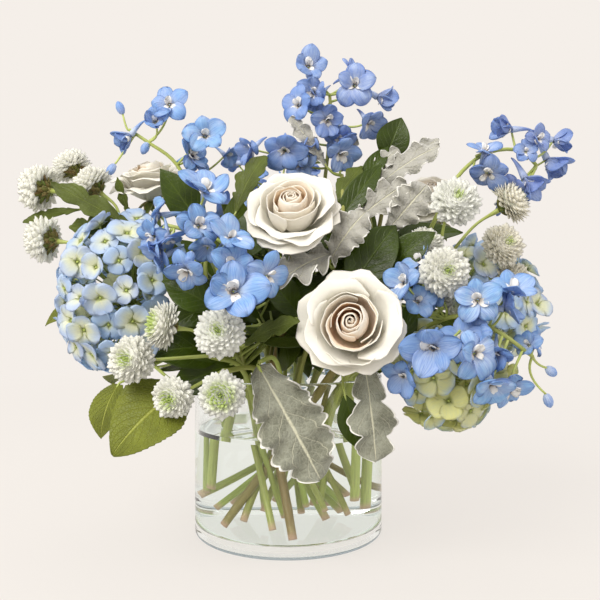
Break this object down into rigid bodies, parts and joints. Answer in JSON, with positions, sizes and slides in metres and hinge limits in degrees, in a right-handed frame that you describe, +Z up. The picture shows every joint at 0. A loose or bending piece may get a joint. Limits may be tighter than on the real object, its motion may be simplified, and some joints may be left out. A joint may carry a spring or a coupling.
{
  "type": "flower arrangement in a vase",
  "caption": "Loose round bunch of cream roses, white button chrysanthemums, blue hydrangeas, blue delphiniums and silver leaves in a clear glass cylinder vase of water.",
  "frame": {"origin": "middle of the vase's flat bottom, where it stands", "axes": "+Z up along the vase's axis, -Y towards the front of the bunch, +X to its right seen from the front"},
  "size_m": [0.4281, 0.2811, 0.3847],
  "materials": {
    "clear_glass": "clear polished glass",
    "clear_water": "clear water",
    "rose_petals": "cream petals, peach in the heart",
    "chrysanthemum_petals": "white petals, green in the heart",
    "hydrangea_petals": "pale blue petals, cream-green in the heart",
    "delphinium_petals": "light blue petals with a white eye",
    "silver_leaves": "silver-grey felt",
    "green_leaves": "satin green leaf",
    "green_stems": "smooth green stem"
  },
  "bodies": {
    "root": {"vase": "clear_glass", "rose_1": "rose_petals", "rose_2": "rose_petals", "rose_3": "rose_petals", "rose_4": "rose_petals", "rose_5": "rose_petals", "rose_6": "rose_petals", "chrysanthemum_1": "chrysanthemum_petals", "chrysanthemum_2": "chrysanthemum_petals", "chrysanthemum_3": "chrysanthemum_petals", "chrysanthemum_4": "chrysanthemum_petals", "chrysanthemum_5": "chrysanthemum_petals", "chrysanthemum_6": "chrysanthemum_petals", "chrysanthemum_7": "chrysanthemum_petals", "chrysanthemum_8": "chrysanthemum_petals", "chrysanthemum_9": "chrysanthemum_petals", "chrysanthemum_10": "chrysanthemum_petals", "chrysanthemum_11": "chrysanthemum_petals", "chrysanthemum_12": "chrysanthemum_petals", "chrysanthemum_13": "chrysanthemum_petals", "chrysanthemum_14": "chrysanthemum_petals", "chrysanthemum_15": "chrysanthemum_petals", "chrysanthemum_16": "chrysanthemum_petals", "chrysanthemum_17": "chrysanthemum_petals", "chrysanthemum_18": "chrysanthemum_petals", "rose_stem_1": "green_stems", "rose_stem_2": "green_stems", "rose_stem_3": "green_stems", "rose_stem_4": "green_stems", "rose_stem_5": "green_stems", "rose_stem_6": "green_stems", "chrysanthemum_stem_1": "green_stems", "chrysanthemum_stem_2": "green_stems", "chrysanthemum_stem_3": "green_stems", "chrysanthemum_stem_4": "green_stems", "chrysanthemum_stem_5": "green_stems", "chrysanthemum_stem_6": "green_stems", "delphinium_1": "delphinium_petals", "delphinium_2": "delphinium_petals", "delphinium_3": "delphinium_petals", "delphinium_4": "delphinium_petals", "delphinium_5": "delphinium_petals", "delphinium_6": "delphinium_petals", "dusty_miller_front_left": "silver_leaves", "dusty_miller_front_right": "silver_leaves", "dusty_miller_middle": "silver_leaves", "dusty_miller_right": "silver_leaves", "hydrangea_leaves": "green_leaves", "glossy_leaves_left": "green_leaves", "glossy_leaves_right": "green_leaves", "glossy_leaves_back": "green_leaves", "chrysanthemum_leaves": "green_leaves", "hydrangea_1": "hydrangea_petals", "hydrangea_2": "hydrangea_petals", "hydrangea_3": "hydrangea_petals", "hydrangea_4": "hydrangea_petals", "water": "clear_water"}
  },
  "joints": []
}
